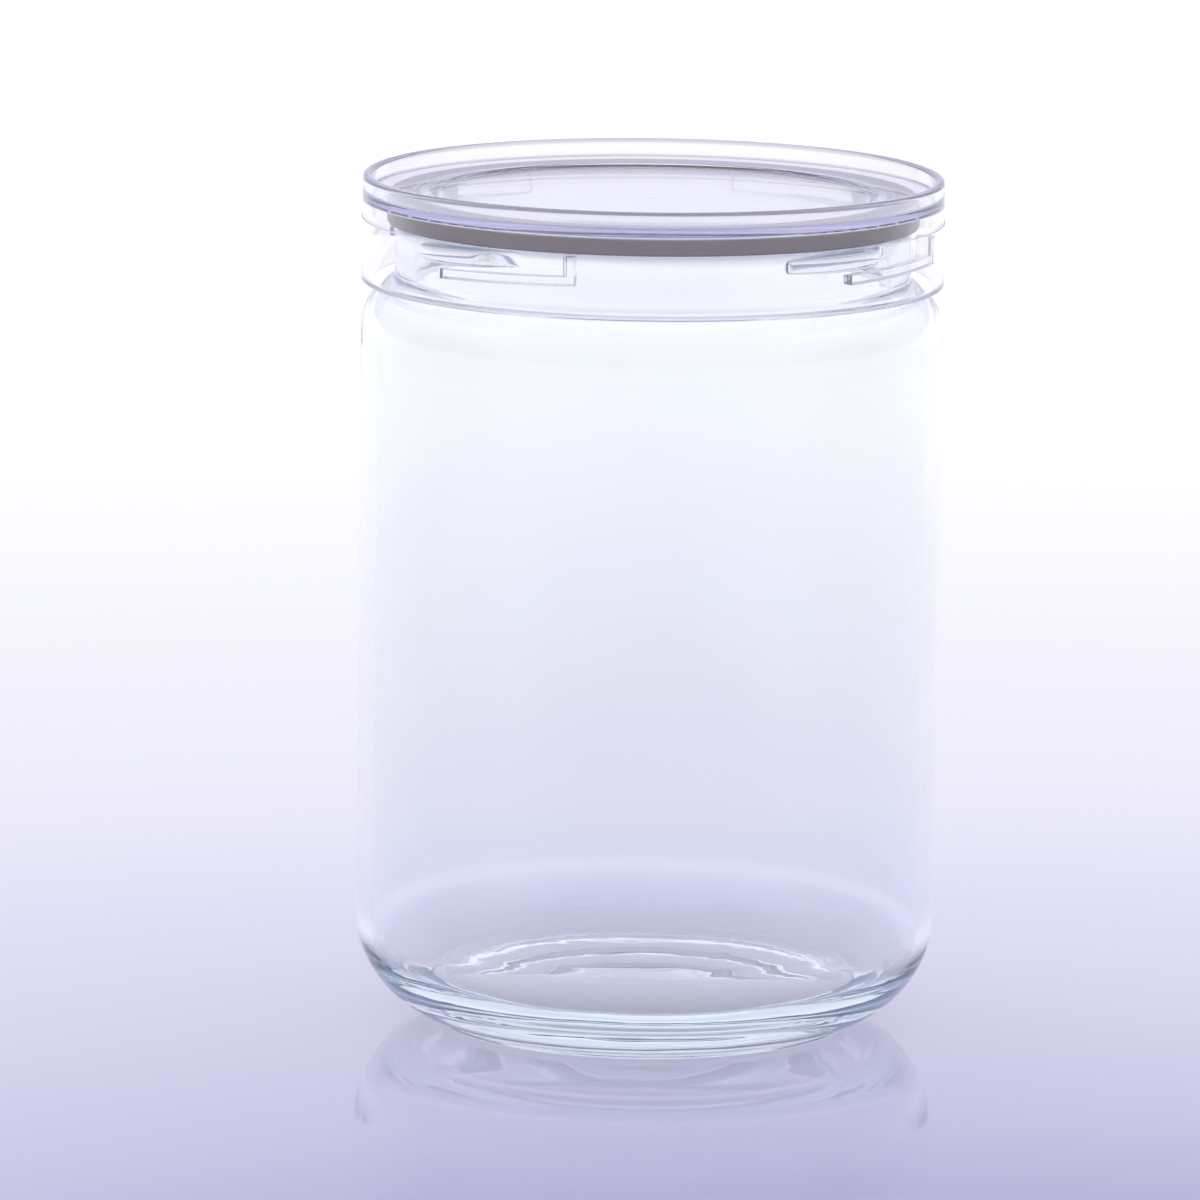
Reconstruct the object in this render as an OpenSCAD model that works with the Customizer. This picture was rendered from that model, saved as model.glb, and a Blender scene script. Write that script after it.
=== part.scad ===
// Lidded glass canister: a pressed glass jar, a clear moulded lid that locks
// on four lugs, and the soft sealing ring between them.
// The origin is on the jar's axis, on the plane the jar stands on. +Z is up.
// Angles run counter-clockwise seen from above, and -90 degrees is the front.

/* [Jar] */
// Outside diameter of the barrel
jar_d = 104.2; // [96:0.2:120]
// Height of the glass, foot to lip
jar_h = 144.4; // [110:0.2:220]
// Thickness of the barrel wall
jar_wall = 2.9; // [2:0.1:4]
// Thickness of the glass floor at the middle
floor_t = 5.6; // [4:0.2:8]
// Radius of the rounded heel outside
heel_r = 19; // [14:0.5:22]
// Diameter of the ring the jar stands on
foot_d = 76; // [70:0.2:84]
// Width of that ring
foot_w = 2; // [1:0.1:4]
// How far that ring stands below the heel
foot_h = 0.8; // [0.2:0.1:1.5]
// How far the underside is pushed up at the middle
push_up = 3.4; // [1:0.2:5]
// Radius of the shoulder outside
shoulder_r = 12; // [9:0.5:14]

/* [Neck] */
// Outside diameter of the neck
neck_d = 92; // [86:0.2:92]
// Thickness of the glass at the neck
neck_wall = 3.2; // [2.4:0.1:4]
// Height of the lip above the top of the barrel's straight wall
neck_rise = 19.9; // [18:0.1:24]
// Rounding of the lip
lip_r = 1.2; // [0.6:0.1:1.5]

/* [Lugs and ribs] */
// Number of glass lugs, and of ribs in the lid
lug_count = 4; // [2:1:4]
// Diameter over the lugs
lug_d = 99; // [96:0.2:99.4]
// Height of a lug at its middle
lug_h = 3.3; // [2.4:0.1:3.6]
// Height of a lug at its ends
lug_end_h = 2.5; // [1.6:0.1:2.6]
// Angle that one lug covers
lug_span = 31; // [20:1:34]
// Depth of a lug's middle below the lip
lug_drop = 2.05; // [1.9:0.05:3]
// Angle from the front to the first lug's middle
lug_start = 45; // [0:1:89]
// Rise of the lugs and ribs over one full turn
thread_pitch = 9; // [6:0.5:10]
// Angle that one rib covers
rib_span = 31.5; // [20:0.5:34]
// Thickness of a rib
rib_t = 1.7; // [1.2:0.1:2]
// How far a rib stands in from the skirt
rib_reach = 2.2; // [1.6:0.1:2.4]
// Angle that the stop at a rib's end covers
stop_span = 2.2; // [1.5:0.1:4]
// Angle by which a rib's middle is turned past its lug's middle
rib_lead = 13.4; // [8:0.1:16]
// Space between a rib and the lug above it
rib_gap = 0.4; // [0.35:0.05:0.8]

/* [Lid] */
// Outside diameter of the skirt
lid_d = 104; // [103.4:0.1:106]
// Height of the lid
lid_h = 19.05; // [16:0.05:26]
// Thickness of the skirt
skirt_wall = 1.9; // [1.5:0.1:1.9]
// How much smaller the ring above the parting step is across
step_d = 0.3; // [0.1:0.1:0.6]
// Depth of the parting step below the rim
step_drop = 7.7; // [5:0.1:9]
// Depth of the top plate below the rim
deck_drop = 3.15; // [1.5:0.05:4]
// Thickness of the top plate
deck_t = 1.4; // [1.2:0.05:2.4]
// Diameter of the sunk middle of the top plate, over its sloped edge
recess_d = 79.8; // [76:0.2:83]
// Depth of the sunk middle
recess_depth = 0.6; // [0.4:0.1:1.4]
// Width of the slope round the sunk middle
recess_slope = 1.2; // [0.3:0.1:2]
// Diameter of the solid plug that centres the seal
plug_d = 84.4; // [83.4:0.1:84.6]
// Height of the plug's underside above the seal's
plug_rise = 1; // [0.3:0.1:1.6]
// Depth of the land that presses on the seal
seat_t = 0.6; // [0.4:0.1:1]

/* [Seal] */
// Outside diameter of the sealing ring
seal_d = 94.8; // [94:0.2:95.2]
// Thickness of the sealing ring
seal_t = 3; // [2:0.1:3.4]
// Rounding of the sealing ring's edges
seal_edge = 0.5; // [0.2:0.1:0.9]

/* [Hidden] */
$fn = 180;

slack = 1;                                  // how far a cutter runs past what it cuts
front = -90;                                // direction of the front

jar_r = jar_d / 2;
neck_r = neck_d / 2;
mouth_r = neck_r - neck_wall;
inner_r = jar_r - jar_wall;
barrel_top = jar_h - neck_rise;             // where the straight wall ends
shoulder_x = jar_r - shoulder_r;
inner_shoulder_r = shoulder_r - 2.2;        // the glass is thinner at the shoulder
heel_x = jar_r - heel_r;
foot_r = foot_d / 2;
foot_in_r = foot_r - foot_w;
heel_z = foot_h + sqrt(heel_r ^ 2 - (foot_r - heel_x) ^ 2); // the heel's circle ends at the foot
floor_z = push_up + floor_t;                // inside floor at the middle
floor_fall = 1.4;                           // how much lower the floor is near the wall
bowl_r = 10;                                // radius of the corner inside the heel
floor_r = inner_r - bowl_r;                 // where the floor turns up into that corner

touch = 0.1;                                // gap left between the seal and what it seals
seal_z = jar_h + touch;
seal_r = seal_d / 2;
seal_in_r = plug_d / 2 + 0.3;               // the seal has a little room round the plug
seat_z = seal_z + seal_t + touch;           // underside of the land on the seal
seat_r = seal_r - 0.8;
deck_z = seat_z + seat_t;                   // underside of the top plate
deck_top = deck_z + deck_t;
recess_r = recess_d / 2;
recess_z = deck_top - recess_depth;         // top of the sunk middle
rim_top = deck_top + deck_drop;
skirt_z = rim_top - lid_h;
step_z = rim_top - step_drop;
skirt_in_r = lid_d / 2 - skirt_wall;
rim_r = (lid_d - step_d) / 2;
rim_round = (rim_r - skirt_in_r) / 2;       // the rim's top is fully round
plug_r = plug_d / 2;
plug_z = seal_z + plug_rise;

lug_r = lug_d / 2;
lug_z = jar_h - lug_drop;
lug_half = lug_r * sin(lug_span / 2);
lug_root = mouth_r + 0.7;                   // lugs start inside the neck's wall
lug_end_r = neck_r + 0.8;                   // and taper in towards their ends
slope = atan(thread_pitch / (2 * PI * lug_r));
rib_in_r = skirt_in_r - rib_reach;
rib_root_r = skirt_in_r + skirt_wall / 3;   // ribs start inside the skirt's wall
rib_z = lug_z - lug_h / 2 + rib_lead / 360 * thread_pitch - rib_gap - rib_t / 2;

// Everything below z and outside x that a rounded outside corner removes
module corner_below(x, z, r) {
    difference() {
        translate([x, z - r - slack]) square([r + slack, r + slack]);
        translate([x, z]) circle(r);
    }
}

// The same for a corner that faces up
module corner_above(x, z, r) {
    difference() {
        translate([x, z]) square([r + slack, r + slack]);
        translate([x, z]) circle(r);
    }
}

// A wide arc over the axis, its top at z, that is fall lower at radius x
module crown(z, x, fall) {
    r = (x * x + fall * fall) / (2 * fall);
    intersection() {
        translate([0, z - r]) circle(r, $fn = 720);
        translate([0, z - 4 * fall]) square([2 * x, 4 * fall]);
    }
}

// Half section of the glass without its cavity
module jar_outline() {
    difference() {
        union() {
            difference() {
                square([jar_r, barrel_top + shoulder_r]);
                corner_above(shoulder_x, barrel_top, shoulder_r);
            }
            square([neck_r, jar_h]);
        }
        difference() {
            corner_below(heel_x, heel_z, heel_r);
            translate([0, -slack]) square([foot_r, heel_z]);
        }
        corner_above(neck_r - lip_r, jar_h - lip_r, lip_r);
        intersection() {
            crown(push_up, foot_in_r, push_up);
            square([foot_in_r, push_up + slack]);
        }
        translate([0, -slack]) square([foot_in_r, slack]);
    }
}

// Half section of the space inside the jar
module cavity_outline() {
    floor_low = floor_z - floor_fall;
    difference() {
        union() {
            translate([0, floor_low]) square([inner_r, barrel_top - floor_low]);
            translate([0, barrel_top]) intersection() {
                square([inner_r, inner_shoulder_r]);
                translate([inner_r - inner_shoulder_r, 0]) union() {
                    circle(inner_shoulder_r);
                    translate([-inner_r, 0]) square([inner_r, inner_shoulder_r]);
                }
            }
            translate([0, barrel_top]) square([mouth_r, neck_rise + slack]);
        }
        corner_below(floor_r, floor_low + bowl_r, bowl_r);
        crown(floor_z, floor_r, floor_fall);
    }
}

// Outline of one lug seen from outside: bowed top and bottom, round ends
module lug_face() {
    sag = (lug_h - lug_end_h) / 2;
    bow_r = (lug_half * lug_half + sag * sag) / (2 * sag);
    intersection() {
        translate([0, lug_h / 2 - bow_r]) circle(bow_r, $fn = 720);
        translate([0, bow_r - lug_h / 2]) circle(bow_r, $fn = 720);
        union() {
            square([2 * lug_half - lug_end_h, lug_h], center = true);
            for (side = [-1, 1])
                translate([side * (lug_half - lug_end_h / 2), 0]) circle(lug_end_h / 2, $fn = 48);
        }
    }
}

// One lug, its middle on +X, sloped like a right-hand thread
module lug() {
    end_x = lug_end_r * cos(lug_span / 2);
    end_y = lug_end_r * sin(lug_span / 2);
    axis_x = (lug_r * lug_r - end_x * end_x - end_y * end_y) / (2 * (lug_r - end_x));
    intersection() {
        rotate([slope, 0, 0])
            rotate([90, 0, 90])
                translate([0, 0, lug_root]) linear_extrude(lug_r - lug_root + slack) lug_face();
        translate([axis_x, 0, -lug_h]) cylinder(r = lug_r - axis_x, h = 2 * lug_h);
    }
}

// One rib of the lid, its middle on +X, with the stop that stands up at its far
// end and reaches as high as the lip
module rib() {
    rotate([slope, 0, 0])
        rotate([0, 0, -rib_span / 2])
            rotate_extrude(angle = rib_span)
                translate([rib_in_r, -rib_t / 2]) square([rib_root_r - rib_in_r, rib_t]);
    rotate([0, 0, rib_span / 2 - stop_span])
        rotate_extrude(angle = stop_span)
            translate([rib_in_r, 0]) square([rib_root_r - rib_in_r, jar_h - rib_z]);
}

// Places its child once for every lug
module around(first) {
    for (i = [0 : lug_count - 1])
        rotate([0, 0, front + first + i * 360 / lug_count]) children();
}

module jar() {
    color([0.86, 0.93, 0.95, 0.35]) {
        rotate_extrude() difference() {
            jar_outline();
            cavity_outline();
        }
        around(lug_start) translate([0, 0, lug_z]) lug();
    }
}

module lid() {
    color([0.82, 0.82, 0.92, 0.45]) {
        rotate_extrude() {
            translate([skirt_in_r, skirt_z]) square([skirt_wall, step_z - skirt_z]);
            translate([skirt_in_r, step_z]) square([rim_r - skirt_in_r, rim_top - rim_round - step_z]);
            translate([rim_r - rim_round, rim_top - rim_round]) circle(rim_round, $fn = 48);
            difference() {
                union() {
                    translate([0, deck_z]) square([skirt_in_r + slack / 2, deck_t]);
                    translate([0, seat_z]) square([seat_r, deck_t]);
                    translate([0, plug_z]) square([plug_r, deck_z - plug_z]);
                }
                polygon([[0, recess_z], [recess_r - recess_slope, recess_z], [recess_r, deck_top],
                    [recess_r, deck_top + slack], [0, deck_top + slack]]);
            }
        }
        around(lug_start + rib_lead) translate([0, 0, rib_z]) rib();
    }
}

module gasket() {
    color([0.62, 0.62, 0.63])
        rotate_extrude()
            difference() {
                translate([seal_in_r, seal_z]) square([seal_r - seal_in_r, seal_t]);
                corner_below(seal_r - seal_edge, seal_z + seal_edge, seal_edge);
                corner_above(seal_r - seal_edge, seal_z + seal_t - seal_edge, seal_edge);
            }
}

jar();
lid();
gasket();
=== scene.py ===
import math

import bpy
import numpy as np
from mathutils import Matrix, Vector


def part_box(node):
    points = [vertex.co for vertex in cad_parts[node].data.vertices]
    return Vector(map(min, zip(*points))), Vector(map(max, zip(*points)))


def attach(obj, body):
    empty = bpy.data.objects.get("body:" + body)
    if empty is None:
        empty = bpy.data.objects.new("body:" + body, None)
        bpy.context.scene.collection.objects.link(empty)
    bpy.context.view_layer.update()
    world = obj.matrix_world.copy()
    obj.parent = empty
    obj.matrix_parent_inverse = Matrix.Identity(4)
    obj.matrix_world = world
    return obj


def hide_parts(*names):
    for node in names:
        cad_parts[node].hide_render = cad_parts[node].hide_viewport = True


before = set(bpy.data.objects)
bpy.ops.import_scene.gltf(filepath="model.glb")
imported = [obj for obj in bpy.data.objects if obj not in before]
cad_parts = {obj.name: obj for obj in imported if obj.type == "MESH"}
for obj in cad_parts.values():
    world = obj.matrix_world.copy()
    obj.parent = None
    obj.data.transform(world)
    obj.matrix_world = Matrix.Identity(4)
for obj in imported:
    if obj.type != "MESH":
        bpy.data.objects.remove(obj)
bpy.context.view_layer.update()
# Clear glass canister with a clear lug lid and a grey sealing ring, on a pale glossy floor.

MM = 0.001

# ---------------------------------------------------------------- sizes, from the frame
_, jar_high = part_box("jar")
lid_low, lid_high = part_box("lid")
seal_low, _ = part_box("gasket")

FRONT = math.radians(-90)                    # direction of the canister's front
BOX_ROOM = 0.02 * MM                         # how far jar and lid stay inside their CAD parts' boxes

JAR_R = jar_high.x - BOX_ROOM                # outside of the barrel
JAR_TOP = jar_high.z
WALL = 2.9 * MM
INNER_R = JAR_R - WALL
NECK_R = 46.0 * MM
NECK_WALL = 3.2 * MM
MOUTH_R = NECK_R - NECK_WALL
LIP_ROUND = 1.2 * MM                         # rounding of the lip's outer edge
LIP_IN_ROUND = 1.0 * MM                      # and of its inner edge
BARREL_TOP = JAR_TOP - 19.9 * MM             # where the barrel turns into the shoulder
SHOULDER_ROUND = 12.0 * MM
INNER_SHOULDER_ROUND = 9.8 * MM
HEEL_ROUND = 19.0 * MM
FOOT_R = 38.0 * MM
FOOT_IN_R = 36.0 * MM
FOOT_HEIGHT = 0.8 * MM                       # the foot ring stands this far below the heel
FOOT_MARGIN = 0.6 * MM                       # the curves on both sides end this far from the foot ring
HEEL_Z = FOOT_HEIGHT + math.sqrt(HEEL_ROUND ** 2 - (FOOT_R - JAR_R + HEEL_ROUND) ** 2)
PUSH_UP = 3.4 * MM                           # rise of the underside at the middle
FLOOR_Z = 9.0 * MM                           # inside floor at the middle
FLOOR_FALL = 1.4 * MM
BOWL_ROUND = 10.0 * MM                       # inside corner between floor and wall
WAVE_FADE = 12 * MM                          # height over which the inside's waves grow
FLOOR_WAVE_TOP = 26 * MM                     # below this they grow once more
FLOOR_WAVE_EXTRA = 0.6                       # by this share

LUG_COUNT = 4                                # lugs on the neck, and as many ribs in the lid
SECTOR_HALF = math.pi / LUG_COUNT            # half of the turn that belongs to one lug and one rib
LUG_R = 49.5 * MM
LUG_Z = JAR_TOP - 2.05 * MM
LUG_HEIGHT = 3.3 * MM
LUG_END_HEIGHT = 2.5 * MM
LUG_END_R = NECK_R + 0.8 * MM
LUG_TAIL = 0.4                               # share of the half lug after which its face eases down
LUG_BETWEEN = 0.35                           # share of a lug's height kept by its rows between lugs
LUG_HALF = math.radians(15.5)
LUG_MIDDLE = FRONT + SECTOR_HALF
THREAD_RISE = 9.0 * MM / math.tau            # rise of lugs and ribs for each radian

LID_R = lid_high.x - BOX_ROOM
RIM_TOP = lid_high.z
SKIRT_Z = lid_low.z
SKIRT_WALL = 1.9 * MM
SKIRT_IN_R = LID_R - SKIRT_WALL
SKIRT_FOOT_R = SKIRT_IN_R + 1.0 * MM         # where the outline starts, under the skirt
STEP_Z = RIM_TOP - 7.7 * MM                  # parting step round the skirt
RIM_R = LID_R - 0.15 * MM
DECK_TOP = RIM_TOP - 3.15 * MM
DECK_Z = DECK_TOP - 1.4 * MM
RECESS_R = 39.9 * MM
RECESS_SLOPE = 1.2 * MM                      # width of the slope round the sunk middle
RECESS_Z = DECK_TOP - 0.6 * MM
SEAT_Z = DECK_Z - 0.6 * MM                   # land that presses on the seal
SEAT_R = 46.6 * MM
DECK_IN_R = SEAT_R + 0.3 * MM                # where the plate's underside meets the land's edge
PLUG_R = 42.2 * MM
PLUG_Z = seal_low.z + 1.0 * MM

RIB_HALF = math.radians(15.75)
RIB_LEAD = math.radians(13.4)                # angle from a lug's middle to its rib's middle
RIB_MIDDLE = LUG_MIDDLE + RIB_LEAD
RIB_STOP = math.radians(2.2)                 # angle that the upright stop covers
RIB_REACH = 2.2 * MM
RIB_THICK = 1.7 * MM
RIB_GAP = 0.4 * MM                           # air between a lug and the rib under it
RIB_EDGE = 0.2 * MM / SKIRT_IN_R             # angle of the small rounding at a rib's square ends
RIB_Z = LUG_Z - LUG_HEIGHT / 2 + RIB_LEAD * THREAD_RISE - RIB_GAP - RIB_THICK / 2

SEAL_R = 47.4 * MM
SEAL_IN_R = 42.5 * MM
SEAL_TOP = SEAT_Z + 0.01 * MM                # the soft ring is in full touch with the land
SEAL_ROUND = 0.5 * MM


# ---------------------------------------------------------------- outlines: rows of (radius, height)
def arc(r, z, radius, start, end, steps):
    """Points on a circle about (r, z), from start to end in degrees."""
    a = np.radians(np.linspace(start, end, steps))
    return np.stack([r + radius * np.cos(a), z + radius * np.sin(a)], 1)


def crown(z, edge_r, fall, steps, outward=True):
    """A shallow dome across the axis: its top at z, and fall lower at edge_r."""
    radius = (edge_r ** 2 + fall ** 2) / (2 * fall)
    r = np.linspace(0, edge_r, steps)
    points = np.stack([r, z - radius + np.sqrt(radius ** 2 - r ** 2)], 1)
    return points if outward else points[::-1]


def line(start, end, longest):
    """Evenly spaced points from start to end, no further apart than longest."""
    start = np.array(start, float)
    end = np.array(end, float)
    steps = max(1, math.ceil(np.linalg.norm(end - start) / longest))
    return start + (end - start) * np.linspace(0, 1, steps + 1)[:, None]


def run(start, end, longest, hold=0.05 * MM):
    """A straight run with an extra point close to each end, which keeps its shading flat."""
    points = line(start, end, longest)
    length = np.linalg.norm(points[-1] - points[0])
    if length < 6 * hold:
        return points
    step = (points[-1] - points[0]) * hold / length
    return np.concatenate([points[:1], points[:1] + step, points[1:-1], points[-1:] - step, points[-1:]])


def bend(start, corner, end, steps=6):
    """A smooth curve from start to end that leaves and arrives along the lines to corner."""
    t = np.linspace(0, 1, steps)[:, None]
    start, corner, end = (np.array(p, float) for p in (start, corner, end))
    return (1 - t) ** 2 * start + 2 * t * (1 - t) * corner + t ** 2 * end


def rounded(corners, longest=3 * MM, steps=5):
    """Straight runs through (radius, height, rounding) corners, each corner eased by its rounding."""
    points = [np.array(corners[0][:2], float)[None]]
    for before, here, after in zip(corners, corners[1:], corners[2:]):
        p0, p, p1 = (np.array(c[:2], float) for c in (before, here, after))
        a = p + (p0 - p) / np.linalg.norm(p0 - p) * here[2]
        b = p + (p1 - p) / np.linalg.norm(p1 - p) * here[2]
        points.append(run(points[-1][-1], a, longest)[1:])
        if here[2] > 0:
            points.append(bend(a, p, b, steps)[1:])
    points.append(run(points[-1][-1], corners[-1][:2], longest)[1:])
    return np.concatenate(points)


def join(*parts):
    """Puts outlines end to end and drops points that coincide."""
    points = np.concatenate(parts)
    keep = np.r_[True, np.linalg.norm(np.diff(points, axis=0), axis=1) > 1e-7]
    return points[keep]


def ease(t):
    """Smooth step from 0 to 1."""
    t = np.clip(t, 0, 1)
    return t * t * (3 - 2 * t)


# ---------------------------------------------------------------- jar
def jar_underside():
    """The jar's outside from the middle of its underside up to the neck's foot."""
    shoulder_end = 58                        # degrees up the shoulder where the neck's fillet starts
    start = arc(JAR_R - SHOULDER_ROUND, BARREL_TOP, SHOULDER_ROUND, 0, shoulder_end, 12)
    slope = np.array([-math.sin(math.radians(shoulder_end)), math.cos(math.radians(shoulder_end))])
    corner = start[-1] + slope * (NECK_R - start[-1][0]) / slope[0]
    heel_start = -math.degrees(math.acos((FOOT_R + FOOT_MARGIN - JAR_R + HEEL_ROUND) / HEEL_ROUND))
    heel = arc(JAR_R - HEEL_ROUND, HEEL_Z, HEEL_ROUND, heel_start, 0, 22)
    dome = crown(PUSH_UP, FOOT_IN_R - FOOT_MARGIN, PUSH_UP - 0.1 * MM, 14)
    foot = rounded([
        (*dome[-1], 0),
        (FOOT_IN_R, 0, 0.5 * MM),
        (FOOT_R, 0, 0.35 * MM),
        (FOOT_R, FOOT_HEIGHT, 0.4 * MM),
        (*heel[0], 0),
    ])
    barrel = line((JAR_R, HEEL_Z), (JAR_R, BARREL_TOP), 3.6 * MM)
    neck_foot = bend(start[-1], corner, (NECK_R, corner[1] + 0.5 * MM), 7)
    return join(dome, foot, heel, barrel, start, neck_foot)


def jar_inside():
    """The jar's inside from the lip down to the middle of the floor."""
    lip = arc(MOUTH_R + LIP_IN_ROUND, JAR_TOP - LIP_IN_ROUND, LIP_IN_ROUND, 90, 180, 7)
    turn = math.degrees(math.acos((MOUTH_R - INNER_R + INNER_SHOULDER_ROUND) / INNER_SHOULDER_ROUND))
    shoulder = arc(INNER_R - INNER_SHOULDER_ROUND, BARREL_TOP, INNER_SHOULDER_ROUND, turn - 8, 0, 14)
    neck_end = (MOUTH_R, shoulder[0][1] + 2.2 * MM)
    neck = line(lip[-1], neck_end, 2 * MM)
    hollow = bend(neck_end, (MOUTH_R, shoulder[0][1] + 0.7 * MM), shoulder[0], 6)
    bowl_z = FLOOR_Z - FLOOR_FALL + BOWL_ROUND
    wall = line((INNER_R, BARREL_TOP), (INNER_R, bowl_z), 1.6 * MM)
    bowl = arc(INNER_R - BOWL_ROUND, bowl_z, BOWL_ROUND, 0, -90, 18)
    floor = crown(FLOOR_Z, INNER_R - BOWL_ROUND, FLOOR_FALL, 12, outward=False)
    return join(lip, neck, hollow, shoulder, wall, bowl, floor)


JAR_BELOW = jar_underside()
JAR_INSIDE = jar_inside()
JAR_INSIDE_WAVES = ease((BARREL_TOP - JAR_INSIDE[:, 1]) / WAVE_FADE)
JAR_INSIDE_WAVES *= 1 + FLOOR_WAVE_EXTRA * ease((FLOOR_WAVE_TOP - JAR_INSIDE[:, 1]) / WAVE_FADE)
LUG_SQUARENESS = 4.5                         # 2 would make a lug's section an ellipse
LUG_TURN = np.linspace(0, math.pi, 21)       # position round a lug's section, bottom to top
LUG_UP = -np.sign(np.cos(LUG_TURN)) * np.abs(np.cos(LUG_TURN)) ** (2 / LUG_SQUARENESS)
LUG_OUT = np.abs(np.sin(LUG_TURN)) ** (2 / LUG_SQUARENESS)
NECK_ROWS = np.array([0.2, 0.45, 0.7, 0.9, 0.985])    # places of the rows from the neck's foot to a lug


def squarish(t, power):
    """How far out a rounded box stands at t, from -1 at one side to 1 at the other."""
    return np.clip(1 - np.abs(t) ** power, 0, 1) ** (1 / power)


def lug_reach(angle):
    """How far a lug's bowed face stands out of the neck at an angle from its middle."""
    t = angle / LUG_HALF
    if abs(t) >= 1:
        return 0
    end_x = LUG_END_R * math.cos(LUG_HALF)
    end_y = LUG_END_R * math.sin(LUG_HALF)
    axis = (LUG_R ** 2 - end_x ** 2 - end_y ** 2) / (2 * (LUG_R - end_x))
    half_chord = math.sqrt(max(0, (LUG_R - axis) ** 2 - (axis * math.sin(angle)) ** 2))
    bow = axis * math.cos(angle) + half_chord
    return (bow - NECK_R) * (1 - ease((t - LUG_TAIL) / (1 - LUG_TAIL))) * squarish(t, 5)


def lug_height(angle):
    """A lug's height at an angle from its middle; past its end its rows lie close together."""
    t = angle / LUG_HALF
    height = LUG_END_HEIGHT + (LUG_HEIGHT - LUG_END_HEIGHT) * (1 - min(1, t * t))
    return height * (max(LUG_BETWEEN, squarish(t, 9)) if abs(t) < 1 else LUG_BETWEEN)


def along_thread(angle, half):
    """Rise of a lug's or rib's middle at an angle; past its half it eases off to where sectors meet."""
    return THREAD_RISE * angle * ease((SECTOR_HALF - abs(angle)) / (SECTOR_HALF - half))


def jar_outline(angle):
    """The jar's outline at an angle from a lug's middle: the lug stands out of the neck."""
    reach = lug_reach(angle)
    z = LUG_Z + along_thread(angle, LUG_HALF) + LUG_UP * lug_height(angle) / 2
    over = np.clip((z - JAR_TOP + LIP_ROUND) / LIP_ROUND, 0, 1)
    base = NECK_R - LIP_ROUND + LIP_ROUND * np.sqrt(1 - over ** 2)
    lug = np.stack([base + LUG_OUT * (NECK_R + reach - base) * (reach > 0), z], 1)
    top = math.degrees(math.asin(min(1, max(0, over[-1]))))
    lip = arc(NECK_R - LIP_ROUND, JAR_TOP - LIP_ROUND, LIP_ROUND, top, 90, 9)[1:]
    below = JAR_BELOW[-1] + (lug[0] - JAR_BELOW[-1]) * NECK_ROWS[:, None]
    return np.concatenate([JAR_BELOW, below, lug, lip, JAR_INSIDE])


# ---------------------------------------------------------------- lid
def lid_top():
    """The lid's outside from the skirt's lower edge over the rim to the middle of the sunk plate."""
    rim_round = (RIM_R - SKIRT_IN_R) / 2
    rim = arc(RIM_R - rim_round, RIM_TOP - rim_round, rim_round, 0, 180, 15)
    outside = rounded([
        (SKIRT_FOOT_R, SKIRT_Z, 0),
        (LID_R, SKIRT_Z, 0.35 * MM),
        (LID_R, STEP_Z, 0.05 * MM),
        (RIM_R, STEP_Z + 0.05 * MM, 0.05 * MM),
        (*rim[0], 0),
    ])
    deck = rounded([
        (*rim[-1], 0),
        (SKIRT_IN_R, DECK_TOP, 0.45 * MM),
        (RECESS_R, DECK_TOP, 0.25 * MM),
        (RECESS_R - RECESS_SLOPE, RECESS_Z, 0.25 * MM),
        (0, RECESS_Z, 0),
    ])
    return join(outside, rim, deck)


def lid_underside():
    """The lid's underside from the middle of the plug out to the land's edge."""
    return rounded([
        (0, PLUG_Z, 0),
        (PLUG_R, PLUG_Z, 0.5 * MM),
        (PLUG_R, SEAT_Z, 0.2 * MM),
        (SEAT_R, SEAT_Z, 0.2 * MM),
        (SEAT_R, DECK_Z, 0.2 * MM),
        (DECK_IN_R, DECK_Z, 0),
    ])


LID_TOP = lid_top()
LID_UNDER = lid_underside()

# Rows of a rib's section, bottom to top (side: -1 to 1; out: share of the reach), and of the stop above it.
RIB_SIDE = np.array([-1, -1, -1, -0.9, -0.7, -0.6, 0.6, 0.7, 0.9, 1, 1, 1])
RIB_OUT = np.array([0, 0.03, 0.86, 0.96, 1, 1, 1, 1, 0.96, 0.86, 0.03, 0])
STOP_UP = np.array([0.02, 0.05, 0.35, 0.65, 0.9, 0.97, 1, 1, 1])
STOP_OUT = np.array([1, 1, 1, 1, 1, 0.95, 0.86, 0.03, 0])


def lid_outline(angle):
    """The lid's outline at an angle from a rib's middle: rib and stop stand in from the skirt."""
    shelf = ease((RIB_HALF - abs(angle)) / RIB_EDGE)
    stop = ease((RIB_HALF - angle) / RIB_EDGE) * ease((angle - RIB_HALF + RIB_STOP) / RIB_EDGE)
    rib_z = RIB_Z + along_thread(angle, RIB_HALF) + RIB_SIDE * RIB_THICK / 2
    reach = np.maximum(RIB_OUT * shelf, stop * np.where(RIB_SIDE < 0, RIB_OUT, 1))
    rib = np.stack([SKIRT_IN_R - RIB_REACH * reach, rib_z], 1)
    up = rib_z[-1] + STOP_UP * (JAR_TOP - rib_z[-1])
    above = np.stack([SKIRT_IN_R - RIB_REACH * stop * STOP_OUT, up], 1)
    deck = rounded([(*above[-1], 0), (SKIRT_IN_R, DECK_Z, 0.3 * MM), (DECK_IN_R, DECK_Z, 0)])[1:]
    foot = rounded([(SKIRT_FOOT_R, SKIRT_Z, 0), (SKIRT_IN_R, SKIRT_Z, 0.9 * MM), (*rib[0], 0)])[1:-1]
    return np.concatenate([LID_TOP[::-1], foot, rib, above, deck, LID_UNDER[-2::-1]])


# ---------------------------------------------------------------- seal
SEAL_OUTLINE = rounded([
    (SEAL_IN_R, (seal_low.z + SEAL_TOP) / 2, 0),
    (SEAL_IN_R, seal_low.z, SEAL_ROUND),
    (SEAL_R, seal_low.z, SEAL_ROUND),
    (SEAL_R, SEAL_TOP, SEAL_ROUND),
    (SEAL_IN_R, SEAL_TOP, SEAL_ROUND),
    (SEAL_IN_R, (seal_low.z + SEAL_TOP) / 2, 0),
], longest=1 * MM)[:-1]


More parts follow.
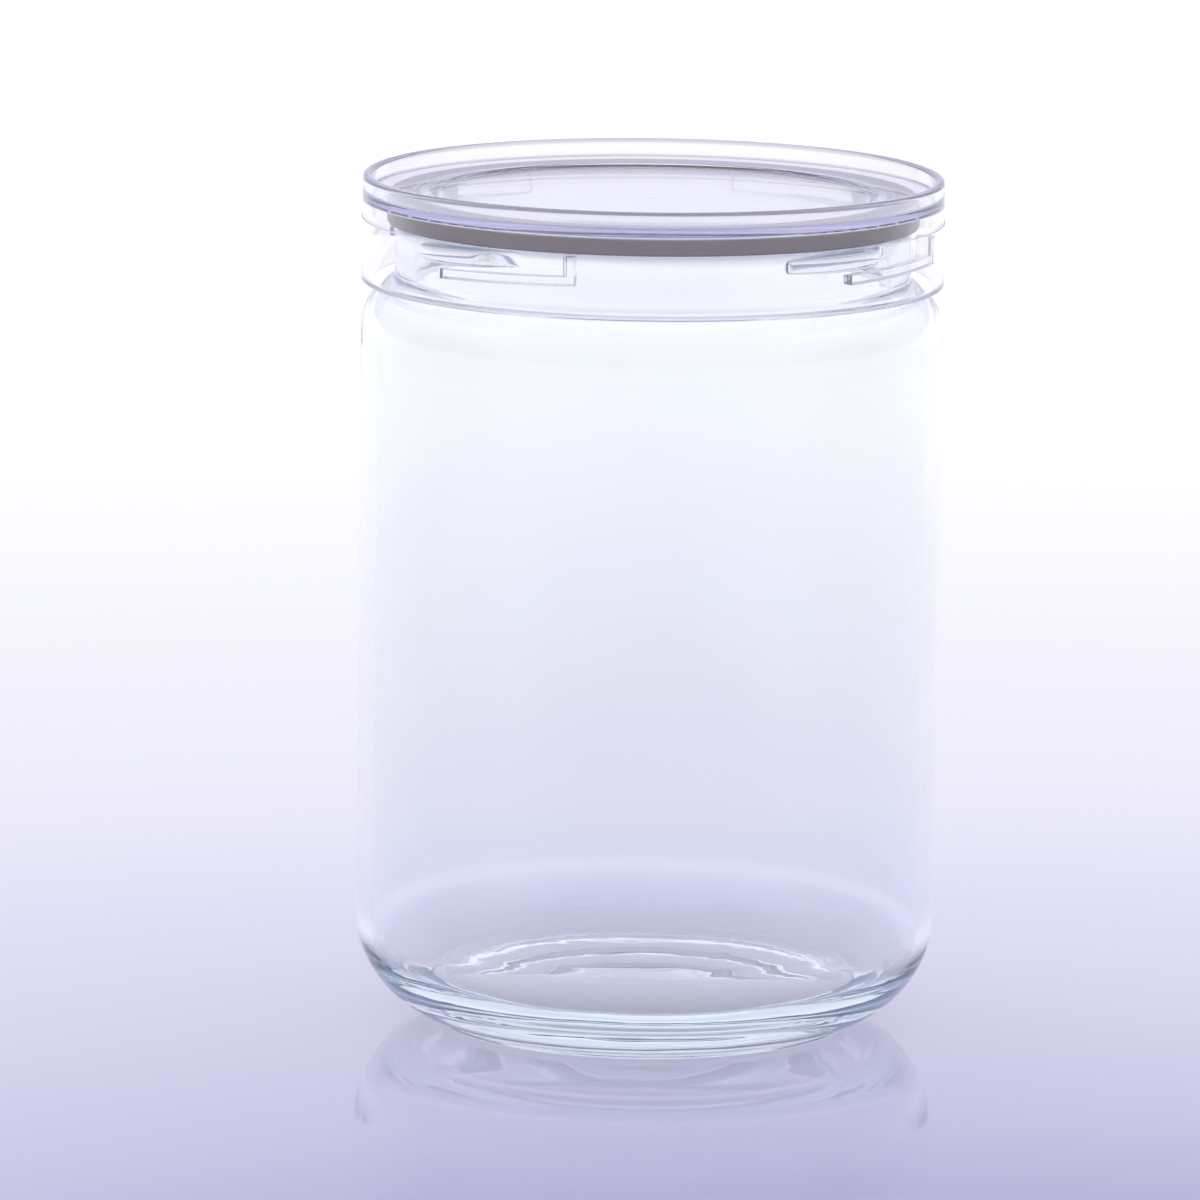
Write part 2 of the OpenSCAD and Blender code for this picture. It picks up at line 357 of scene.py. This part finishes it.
def seal_outline(angle):
    """The seal's outline, which is the same at every angle."""
    return SEAL_OUTLINE


# ---------------------------------------------------------------- meshes
def columns(coarse):
    """Angles across the sector of one lug or rib, about coarse apart."""
    return np.linspace(-SECTOR_HALF, SECTOR_HALF, round(2 * SECTOR_HALF / coarse) + 1).tolist()


def crowd(angles, edge, fine, before, after):
    """Clears the angles from before an edge to after it, for ones at fine steps from the edge."""
    kept = [a for a in angles if not -before < a - edge < after]
    return sorted(kept + [edge + f for f in fine])


def sector(name, outline, angles, middle, closed=False, wavy=()):
    """A mesh of one sector of a turned piece, its outline given for each angle across it.

    The last points of the outline take their share of the surface waves from wavy."""
    grid = np.array([outline(a) for a in angles])
    turn = np.array(angles)[:, None] + middle
    points = np.stack([grid[:, :, 0] * np.cos(turn), grid[:, :, 0] * np.sin(turn), grid[:, :, 1]], 2)
    wide, long = grid.shape[:2]
    index = np.arange(wide * long).reshape(wide, long)
    if closed:
        index = np.concatenate([index, index[:, :1]], 1)
    a, b, c, d = index[:-1, :-1], index[1:, :-1], index[1:, 1:], index[:-1, 1:]
    quads = np.stack([a, b, c, d], 2).reshape(-1, 4)
    radius = grid.reshape(-1, 2)[:, 0]
    faces = []
    for q in quads.tolist():
        at_pole = [i for i in q if radius[i] < 1e-9]
        faces.append([i for i in q if i not in at_pole[1:]])
    mesh = bpy.data.meshes.new(name)
    mesh.from_pydata(points.reshape(-1, 3).tolist(), [], faces)
    share = np.zeros((wide, long))
    share[:, long - len(wavy):] = wavy
    mesh.attributes.new("wavy", "FLOAT", "POINT").data.foreach_set("value", share.ravel())
    piece = bpy.data.objects.new(name, mesh)
    bpy.context.scene.collection.objects.link(piece)
    return piece


def socket(tree, name, kind, default=None, output=False):
    """Adds a named socket to a node group's interface."""
    made = tree.interface.new_socket(name, in_out="OUTPUT" if output else "INPUT", socket_type=kind)
    if default is not None:
        made.default_value = default


def ring_tree():
    """Repeats one sector round the axis, welds the seams and gives the surface its slight waves."""
    tree = bpy.data.node_groups.new("ring_of_sectors", "GeometryNodeTree")
    socket(tree, "Sector", "NodeSocketGeometry")
    socket(tree, "Copies", "NodeSocketInt", 4)
    socket(tree, "Weld Distance", "NodeSocketFloat", 0.002 * MM)
    socket(tree, "Wave Height", "NodeSocketFloat", 0.0)
    socket(tree, "Wave Size", "NodeSocketFloat", 20 * MM)
    socket(tree, "Wave Seed", "NodeSocketFloat", 1.0)
    socket(tree, "Finish", "NodeSocketMaterial")
    socket(tree, "Ring", "NodeSocketGeometry", output=True)
    nodes = tree.nodes
    link = tree.links.new
    given = nodes.new("NodeGroupInput")
    result = nodes.new("NodeGroupOutput")

    def math_node(operation, first, second):
        node = nodes.new("ShaderNodeMath")
        node.operation = operation
        for slot, value in zip(node.inputs, (first, second)):
            if isinstance(value, (int, float)):
                slot.default_value = value
            else:
                link(value, slot)
        return node.outputs[0]

    spots = nodes.new("GeometryNodeMeshLine")
    spots.mode = "OFFSET"
    link(given.outputs["Copies"], spots.inputs["Count"])
    spots.inputs["Offset"].default_value = (0, 0, 0)
    place = nodes.new("GeometryNodeInstanceOnPoints")
    link(spots.outputs[0], place.inputs["Points"])
    link(given.outputs["Sector"], place.inputs["Instance"])
    index = nodes.new("GeometryNodeInputIndex")
    step = math_node("DIVIDE", math.tau, given.outputs["Copies"])
    turn = nodes.new("ShaderNodeCombineXYZ")
    link(math_node("MULTIPLY", index.outputs[0], step), turn.inputs["Z"])
    rotation = nodes.new("FunctionNodeEulerToRotation")
    link(turn.outputs[0], rotation.inputs[0])
    link(rotation.outputs[0], place.inputs["Rotation"])

    real = nodes.new("GeometryNodeRealizeInstances")
    link(place.outputs[0], real.inputs[0])
    weld = nodes.new("GeometryNodeMergeByDistance")
    link(real.outputs[0], weld.inputs["Geometry"])
    link(given.outputs["Weld Distance"], weld.inputs["Distance"])

    position = nodes.new("GeometryNodeInputPosition")
    stretch = nodes.new("ShaderNodeVectorMath")
    stretch.operation = "MULTIPLY"
    stretch.inputs[1].default_value = (1, 1, 0.45)    # the waves run longer upwards than round
    link(position.outputs[0], stretch.inputs[0])
    noise = nodes.new("ShaderNodeTexNoise")
    noise.noise_dimensions = "4D"
    noise.inputs["Detail"].default_value = 1.5
    link(stretch.outputs[0], noise.inputs["Vector"])
    link(given.outputs["Wave Seed"], noise.inputs["W"])
    link(math_node("DIVIDE", 1, given.outputs["Wave Size"]), noise.inputs["Scale"])
    share = nodes.new("GeometryNodeInputNamedAttribute")
    share.data_type = "FLOAT"
    share.inputs["Name"].default_value = "wavy"
    height = math_node("MULTIPLY", math_node("SUBTRACT", noise.outputs[0], 0.5), given.outputs["Wave Height"])
    height = math_node("MULTIPLY", height, share.outputs[0])
    normal = nodes.new("GeometryNodeInputNormal")
    push = nodes.new("ShaderNodeVectorMath")
    push.operation = "SCALE"
    link(normal.outputs[0], push.inputs[0])
    link(height, push.inputs["Scale"])
    move = nodes.new("GeometryNodeSetPosition")
    link(weld.outputs[0], move.inputs["Geometry"])
    link(push.outputs[0], move.inputs["Offset"])

    smooth = nodes.new("GeometryNodeSetShadeSmooth")
    link(move.outputs[0], smooth.inputs["Geometry"])
    finish = nodes.new("GeometryNodeSetMaterial")
    link(smooth.outputs[0], finish.inputs["Geometry"])
    link(given.outputs["Finish"], finish.inputs["Material"])
    link(finish.outputs[0], result.inputs[0])
    return tree


def ring(piece, tree, **values):
    """Runs the ring tree on one sector and keeps its result as a plain mesh."""
    modifier = piece.modifiers.new("ring", "NODES")
    modifier.node_group = tree
    for item in tree.interface.items_tree:
        key = item.name.lower().replace(" ", "_")
        if key in values:
            modifier[item.identifier] = values[key]
    graph = bpy.context.evaluated_depsgraph_get()
    mesh = bpy.data.meshes.new_from_object(piece.evaluated_get(graph))
    piece.modifiers.remove(modifier)
    piece.data = mesh
    mesh.name = piece.name
    face_outward(mesh)


def face_outward(mesh):
    """Turns the faces so that the closed mesh holds a positive volume."""
    mesh.calc_loop_triangles()
    corners = np.array([t.vertices[:] for t in mesh.loop_triangles])
    points = np.array([v.co[:] for v in mesh.vertices])[corners]
    volume = np.einsum("ij,ij->i", points[:, 0], np.cross(points[:, 1], points[:, 2])).sum()
    if volume < 0:
        mesh.flip_normals()


# ---------------------------------------------------------------- materials
COLOUR_A, COLOUR_B, COLOUR_OUT = 6, 7, 2     # a colour Mix node's sockets, which share their names


def shader_group(name, inputs, outputs):
    """An empty shader group with named inputs and outputs."""
    tree = bpy.data.node_groups.new(name, "ShaderNodeTree")
    for label, kind, default in inputs:
        socket(tree, label, kind, default)
    for label, kind in outputs:
        socket(tree, label, kind, output=True)
    return tree, tree.nodes.new("NodeGroupInput"), tree.nodes.new("NodeGroupOutput")


def waves_group():
    """Height of the slow waves and fine level lines that moulding leaves in a clear surface.

    Below Streak Top the lines grow to Streak Share of the height."""
    tree, given, result = shader_group("surface_waves", [
        ("Vector", "NodeSocketVector", None),
        ("Wave Scale", "NodeSocketFloat", 30.0),
        ("Line Scale", "NodeSocketFloat", 400.0),
        ("Line Share", "NodeSocketFloat", 0.2),
        ("Streak Share", "NodeSocketFloat", 0.2),
        ("Streak Top", "NodeSocketFloat", 0.0),
    ], [("Height", "NodeSocketFloat")])
    link = tree.links.new
    apart = tree.nodes.new("ShaderNodeSeparateXYZ")
    low = tree.nodes.new("ShaderNodeMapRange")
    low.interpolation_type = "SMOOTHSTEP"
    low.inputs["From Max"].default_value = 0.0
    link(given.outputs["Vector"], apart.inputs[0])
    link(apart.outputs["Z"], low.inputs["Value"])
    link(given.outputs["Streak Top"], low.inputs["From Min"])
    link(given.outputs["Line Share"], low.inputs["To Min"])
    link(given.outputs["Streak Share"], low.inputs["To Max"])
    slow = tree.nodes.new("ShaderNodeTexNoise")
    slow.inputs["Detail"].default_value = 1.0
    fine = tree.nodes.new("ShaderNodeTexNoise")
    fine.inputs["Detail"].default_value = 2.0
    flat = tree.nodes.new("ShaderNodeMapping")
    flat.inputs["Scale"].default_value = (0.15, 0.15, 1.0)
    mix = tree.nodes.new("ShaderNodeMix")
    link(given.outputs["Vector"], slow.inputs["Vector"])
    link(given.outputs["Wave Scale"], slow.inputs["Scale"])
    link(given.outputs["Vector"], flat.inputs["Vector"])
    link(flat.outputs[0], fine.inputs["Vector"])
    link(given.outputs["Line Scale"], fine.inputs["Scale"])
    link(low.outputs["Result"], mix.inputs["Factor"])
    link(slow.outputs["Fac"], mix.inputs["A"])
    link(fine.outputs["Fac"], mix.inputs["B"])
    link(mix.outputs["Result"], result.inputs["Height"])
    return tree


def marks_group():
    """Roughness with faint wiped patches, and the same patches as a mask."""
    tree, given, result = shader_group("handling_marks", [
        ("Vector", "NodeSocketVector", None),
        ("Patch Scale", "NodeSocketFloat", 60.0),
        ("Clean Roughness", "NodeSocketFloat", 0.0),
        ("Marked Roughness", "NodeSocketFloat", 0.05),
    ], [("Roughness", "NodeSocketFloat"), ("Mask", "NodeSocketFloat")])
    link = tree.links.new
    patch = tree.nodes.new("ShaderNodeTexNoise")
    patch.inputs["Detail"].default_value = 4.0
    spread = tree.nodes.new("ShaderNodeMapRange")
    spread.inputs["From Min"].default_value = 0.52
    spread.inputs["From Max"].default_value = 0.78
    level = tree.nodes.new("ShaderNodeMix")
    link(given.outputs["Vector"], patch.inputs["Vector"])
    link(given.outputs["Patch Scale"], patch.inputs["Scale"])
    link(patch.outputs["Fac"], spread.inputs["Value"])
    link(spread.outputs["Result"], level.inputs["Factor"])
    link(given.outputs["Clean Roughness"], level.inputs["A"])
    link(given.outputs["Marked Roughness"], level.inputs["B"])
    link(level.outputs["Result"], result.inputs["Roughness"])
    link(spread.outputs["Result"], result.inputs["Mask"])
    return tree


def drift_group():
    """Two close colours that drift into each other through the thickness of a piece."""
    tree, given, result = shader_group("colour_drift", [
        ("Vector", "NodeSocketVector", None),
        ("Drift Scale", "NodeSocketFloat", 20.0),
        ("Colour", "NodeSocketColor", (1, 1, 1, 1)),
        ("Other Colour", "NodeSocketColor", (1, 1, 1, 1)),
    ], [("Colour", "NodeSocketColor")])
    link = tree.links.new
    drift = tree.nodes.new("ShaderNodeTexNoise")
    drift.inputs["Detail"].default_value = 2.0
    mix = tree.nodes.new("ShaderNodeMix")
    mix.data_type = "RGBA"
    link(given.outputs["Vector"], drift.inputs["Vector"])
    link(given.outputs["Drift Scale"], drift.inputs["Scale"])
    link(drift.outputs["Fac"], mix.inputs["Factor"])
    link(given.outputs["Colour"], mix.inputs[COLOUR_A])
    link(given.outputs["Other Colour"], mix.inputs[COLOUR_B])
    link(mix.outputs[COLOUR_OUT], result.inputs["Colour"])
    return tree


WAVES = waves_group()
MARKS = marks_group()
DRIFT = drift_group()


def add_group(material, group, **values):
    """Places a group in a material, fed with Object coordinates, and sets its inputs."""
    nodes = material.node_tree.nodes
    node = nodes.new("ShaderNodeGroup")
    node.node_tree = group
    where = nodes.get("where") or nodes.new("ShaderNodeTexCoord")
    where.name = "where"
    material.node_tree.links.new(where.outputs["Object"], node.inputs["Vector"])
    for name, value in values.items():
        node.inputs[name.replace("_", " ").title()].default_value = value
    return node


def surface(name, colours, roughness, waves, bump, settings):
    """A Principled material with drifting colour, wiped patches and a waved surface.

    The roughness is that of the clean surface and of the wiped patches."""
    material = bpy.data.materials.new(name)
    material.use_nodes = True
    links = material.node_tree.links
    shader = material.node_tree.nodes["Principled BSDF"]
    for label, value in settings.items():
        shader.inputs[label].default_value = value
    drift = add_group(material, DRIFT, colour=colours[0], other_colour=colours[1])
    links.new(drift.outputs["Colour"], shader.inputs["Base Color"])
    marks = add_group(material, MARKS, clean_roughness=roughness[0], marked_roughness=roughness[1])
    links.new(marks.outputs["Roughness"], shader.inputs["Roughness"])
    wave = add_group(material, WAVES, **waves)
    relief = material.node_tree.nodes.new("ShaderNodeBump")
    relief.inputs["Strength"].default_value = 1.0
    relief.inputs["Distance"].default_value = bump
    links.new(wave.outputs["Height"], relief.inputs["Height"])
    links.new(relief.outputs["Normal"], shader.inputs["Normal"])
    return material


def tint_by_depth(material, colour, density):
    """Colours the light by how far it runs inside the piece."""
    nodes = material.node_tree.nodes
    depth = nodes.new("ShaderNodeVolumeAbsorption")
    depth.inputs["Color"].default_value = colour
    depth.inputs["Density"].default_value = density
    material.node_tree.links.new(depth.outputs[0], nodes["Material Output"].inputs["Volume"])


def clear_glass():
    """Soda-lime glass, whose blue-green cast shows only where the light runs a long way in it."""
    material = surface(
        "clear_glass",
        colours=((0.95, 0.965, 0.98, 1), (0.96, 0.97, 0.98, 1)),
        roughness=(0.0, 0.02),
        waves={"wave_scale": 70.0, "line_scale": 500.0, "line_share": 0.12,
               "streak_share": 0.5, "streak_top": 30 * MM},
        bump=0.05 * MM,
        settings={"Transmission Weight": 1.0, "IOR": 1.517, "Metallic": 0.0},
    )
    tint_by_depth(material, (0.80, 0.90, 0.96, 1), 8.0)
    return material


def clear_plastic():
    """Clear styrene plastic with a faint lilac cast in its depth."""
    material = surface(
        "clear_plastic",
        colours=((0.975, 0.97, 0.985, 1), (0.98, 0.975, 0.985, 1)),
        roughness=(0.0, 0.03),
        waves={"wave_scale": 50.0, "line_scale": 900.0, "line_share": 0.15, "streak_share": 0.15},
        bump=0.01 * MM,
        settings={"Transmission Weight": 1.0, "IOR": 1.57, "Metallic": 0.0},
    )
    tint_by_depth(material, (0.70, 0.69, 0.86, 1), 21.0)
    return material


def grey_silicone():
    """Grey silicone with a painted highlight on its top face, which the lid presses on: the light that comes
    through the lid is painted there as a paler colour.
    """
    material = surface(
        "grey_silicone",
        colours=((0.355, 0.345, 0.38, 1), (0.315, 0.305, 0.34, 1)),
        roughness=(0.38, 0.55),
        waves={"wave_scale": 200.0, "line_scale": 3000.0, "line_share": 0.4, "streak_share": 0.4},
        bump=0.02 * MM,
        settings={"IOR": 1.41, "Subsurface Weight": 0.2, "Metallic": 0.0},
    )
    nodes = material.node_tree.nodes
    link = material.node_tree.links.new
    shader = nodes["Principled BSDF"]
    # painted light: a paler lilac band on the seal's top face, chosen by height, stands in for light through
    # the lid
    height = nodes.new("ShaderNodeSeparateXYZ")
    lit_top_band = nodes.new("ShaderNodeMapRange")
    lit_top_band.inputs["From Min"].default_value = SEAL_TOP - 0.2 * MM
    lit_top_band.inputs["From Max"].default_value = SEAL_TOP - 0.05 * MM
    pale = nodes.new("ShaderNodeMix")
    pale.data_type = "RGBA"
    pale.inputs[COLOUR_B].default_value = (0.52, 0.52, 0.68, 1)
    link(nodes["where"].outputs["Object"], height.inputs[0])
    link(height.outputs["Z"], lit_top_band.inputs["Value"])
    link(lit_top_band.outputs["Result"], pale.inputs["Factor"])
    link(shader.inputs["Base Color"].links[0].from_socket, pale.inputs[COLOUR_A])
    link(pale.outputs[COLOUR_OUT], shader.inputs["Base Color"])
    return material


# ---------------------------------------------------------------- the three pieces
RING = ring_tree()


def make_jar():
    """The glass jar, its columns close together where a lug rounds off at its ends."""
    near_end = np.radians([-1.1, -0.75, -0.45, -0.25, -0.12, -0.03, 0.03, 0.5])
    before, after = math.radians(1.3), math.radians(0.8)
    angles = crowd(columns(math.radians(1.45)), LUG_HALF, near_end, before, after)
    angles = crowd(angles, -LUG_HALF, -near_end, after, before)
    piece = sector("glass_jar", jar_outline, angles, LUG_MIDDLE, wavy=JAR_INSIDE_WAVES)
    ring(piece, RING, copies=LUG_COUNT, finish=clear_glass(), wave_height=0.25 * MM, wave_size=26 * MM)
    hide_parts("jar")
    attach(piece, "jar")


def make_lid():
    """The clear lid, its columns close together at the square ends of the ribs and their stops."""
    coarse = math.radians(1.2)
    fine = RIB_EDGE * np.array([-1.6, -0.25, 0, 0.5, 1, 1.25, 2])
    clear = coarse * 0.45
    angles = columns(coarse)
    for edge, steps in ((-RIB_HALF, fine), (RIB_HALF - RIB_STOP, fine), (RIB_HALF, -fine)):
        angles = crowd(angles, edge, steps, clear, clear)
    piece = sector("clear_lid", lid_outline, angles, RIB_MIDDLE)
    ring(piece, RING, copies=LUG_COUNT, finish=clear_plastic())
    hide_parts("lid")
    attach(piece, "lid")


def make_seal():
    """The sealing ring, from a closed outline."""
    copies = 24
    angles = np.radians(np.linspace(0, 360 / copies, 12)).tolist()
    piece = sector("sealing_ring", seal_outline, angles, 0.0, closed=True)
    ring(piece, RING, copies=copies, finish=grey_silicone())
    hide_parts("gasket")
    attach(piece, "seal")


make_jar()
make_lid()
make_seal()


# ---------------------------------------------------------------- floor, light and camera
# painted shade: the board's colour is darker and more violet close to BOARD_MIDDLE, in front of the canister,
# and paler far off
BOARD_PAINTED_FALLOFF = [                        # (metres from BOARD_MIDDLE, colour)
    (0.17, (0.30, 0.28, 0.48)),
    (0.23, (0.385, 0.385, 0.55)),
    (0.31, (0.475, 0.465, 0.61)),
    (0.40, (0.51, 0.52, 0.665)),
    (0.50, (0.59, 0.58, 0.655)),
    (0.72, (0.65, 0.65, 0.67)),
    (1.00, (0.73, 0.74, 0.71)),
]
BOARD_SHADE = 0.5                            # share of its colour that the board reflects
BOARD_PAINTED_GLOW = 0.69                            # and share that it gives off as glow: painted light that lifts the shade round the canister
BOARD_MIDDLE = (0.05, -0.3, 0)
BOARD_DROP = 0.15 * MM                       # gap that keeps the board off the foot ring


def fill_ramp(ramp, rows, scale=1.0):
    """Sets a colour ramp's stops from rows of (position, colour), the colours divided by scale."""
    stops = ramp.color_ramp.elements
    for position, _ in rows[1:-1]:
        stops.new(position)
    for stop, (position, colour) in zip(stops, rows):
        stop.position = position
        stop.color = (*(c / scale for c in colour), 1)


def board_mesh():
    """A wide disc of flat faces in rings."""
    count = 96
    turn = np.linspace(0, math.tau, count, endpoint=False)
    rings = [0.15, 0.5, 2.0, 14.0]
    points = [(0, 0, 0)]
    for r in rings:
        points += [(r * math.cos(a), r * math.sin(a), 0) for a in turn]
    faces = [(0, 1 + i, 1 + (i + 1) % count) for i in range(count)]
    for k in range(len(rings) - 1):
        inner = 1 + k * count
        outer = inner + count
        for i in range(count):
            j = (i + 1) % count
            faces.append((inner + i, outer + i, outer + j, inner + j))
    mesh = bpy.data.meshes.new("stage_floor")
    mesh.from_pydata(points, [], faces)
    return mesh


def glossy_board():
    """Board with painted shade, darker and more violet near the canister and paler far from it; the same
    colour also glows as painted light.
    """
    material = bpy.data.materials.new("glossy_board")
    material.use_nodes = True
    nodes = material.node_tree.nodes
    link = material.node_tree.links.new
    shader = nodes["Principled BSDF"]
    where = nodes.new("ShaderNodeTexCoord")
    reach = nodes.new("ShaderNodeVectorMath")
    reach.operation = "DISTANCE"
    reach.inputs[1].default_value = BOARD_MIDDLE
    link(where.outputs["Object"], reach.inputs[0])
    ramp = nodes.new("ShaderNodeValToRGB")
    fill_ramp(ramp, BOARD_PAINTED_FALLOFF)
    link(reach.outputs["Value"], ramp.inputs[0])
    shade = nodes.new("ShaderNodeMix")
    shade.data_type = "RGBA"
    shade.inputs["Factor"].default_value = BOARD_SHADE
    shade.inputs[COLOUR_A].default_value = (0, 0, 0, 1)
    link(ramp.outputs[0], shade.inputs[COLOUR_B])
    link(shade.outputs[COLOUR_OUT], shader.inputs["Base Color"])
    # painted light: the board glows in its own ramp colour, which fills the shade round the canister
    link(ramp.outputs[0], shader.inputs["Emission Color"])
    shader.inputs["Emission Strength"].default_value = BOARD_PAINTED_GLOW
    shader.inputs["Roughness"].default_value = 0.05
    shader.inputs["IOR"].default_value = 1.25
    return material


def stage_floor():
    """The pale glossy board that the canister stands on."""
    mesh = board_mesh()
    mesh.materials.append(glossy_board())
    floor = bpy.data.objects.new("stage_floor", mesh)
    floor.location.z = -BOARD_DROP
    bpy.context.scene.collection.objects.link(floor)


SKY_BY_HEIGHT = [                            # (sine of the elevation, colour)
    (0.00, (0.88, 0.87, 1.02)),
    (0.20, (0.88, 0.87, 1.02)),
    (0.45, (1.04, 1.04, 1.08)),
    (0.75, (1.06, 1.06, 1.08)),
    (1.00, (1.06, 1.06, 1.08)),
]
SKY_SCALE = 2.0                              # ramps hold colours up to 1
FRONT_SHARE = 0.7                            # brightness in front against behind
FRONT_END = -0.9                             # how far back a direction points where that share ends
BACK_START = 0.2                             # and where the full brightness starts
FLANK_START = 0.80                           # sine of the angle off the middle where the flanks begin
FLANK_SHARE = 0.55                           # brightness straight out to either side


def studio_world():
    """A soft surround that is bright behind the canister and dimmer in front of it."""
    world = bpy.data.worlds.new("soft_surround")
    bpy.context.scene.world = world
    world.use_nodes = True
    nodes = world.node_tree.nodes
    link = world.node_tree.links.new
    where = nodes.new("ShaderNodeTexCoord")
    apart = nodes.new("ShaderNodeSeparateXYZ")
    link(where.outputs["Generated"], apart.inputs[0])
    ramp = nodes.new("ShaderNodeValToRGB")
    ramp.color_ramp.interpolation = "EASE"
    fill_ramp(ramp, SKY_BY_HEIGHT, SKY_SCALE)
    link(apart.outputs["Z"], ramp.inputs[0])
    side = nodes.new("ShaderNodeMapRange")
    side.interpolation_type = "SMOOTHSTEP"
    side.inputs["From Min"].default_value = FRONT_END
    side.inputs["From Max"].default_value = BACK_START
    side.inputs["To Min"].default_value = SKY_SCALE * FRONT_SHARE
    side.inputs["To Max"].default_value = SKY_SCALE
    link(apart.outputs["Y"], side.inputs["Value"])
    reach = nodes.new("ShaderNodeMath")
    reach.operation = "ABSOLUTE"
    link(apart.outputs["X"], reach.inputs[0])
    flank = nodes.new("ShaderNodeMapRange")
    flank.interpolation_type = "SMOOTHSTEP"
    flank.inputs["From Min"].default_value = FLANK_START
    flank.inputs["To Min"].default_value = 1.0
    flank.inputs["To Max"].default_value = FLANK_SHARE
    link(reach.outputs[0], flank.inputs["Value"])
    strength = nodes.new("ShaderNodeMath")
    strength.operation = "MULTIPLY"
    link(side.outputs[0], strength.inputs[0])
    link(flank.outputs[0], strength.inputs[1])
    light = nodes["Background"]
    link(ramp.outputs[0], light.inputs["Color"])
    link(strength.outputs[0], light.inputs["Strength"])


def camera():
    """A long lens, a little above the lid, rolled slightly to the left."""
    distance = 1600 * MM
    height = 361.8 * MM
    side = 8.65 * MM
    pitch = math.radians(10.14)
    roll = math.radians(0.72)
    data = bpy.data.cameras.new("camera")
    data.sensor_width = 36.0
    data.lens = 271.74                       # in millimetres, as the sensor's width is
    data.clip_start = 0.05
    data.clip_end = 60.0
    eye = bpy.data.objects.new("camera", data)
    back = np.array([0, -math.cos(pitch), math.sin(pitch)])
    right = np.array([1.0, 0, 0])
    up = np.cross(back, right)
    turned_right = math.cos(roll) * right + math.sin(roll) * up
    turned_up = math.cos(roll) * up - math.sin(roll) * right
    place = Matrix.Identity(4)
    for column, axis in enumerate((turned_right, turned_up, back, (-side, -distance, height))):
        for row in range(3):
            place[row][column] = float(axis[row])
    eye.matrix_world = place
    bpy.context.scene.collection.objects.link(eye)
    bpy.context.scene.camera = eye


stage_floor()
studio_world()
camera()
scene = bpy.context.scene
scene.view_settings.view_transform = "Standard"
scene.cycles.max_bounces = 128               # light turns many corners inside the clear walls
scene.cycles.transmission_bounces = 96
scene.cycles.glossy_bounces = 96
scene.cycles.diffuse_bounces = 3
scene.cycles.transparent_max_bounces = 16
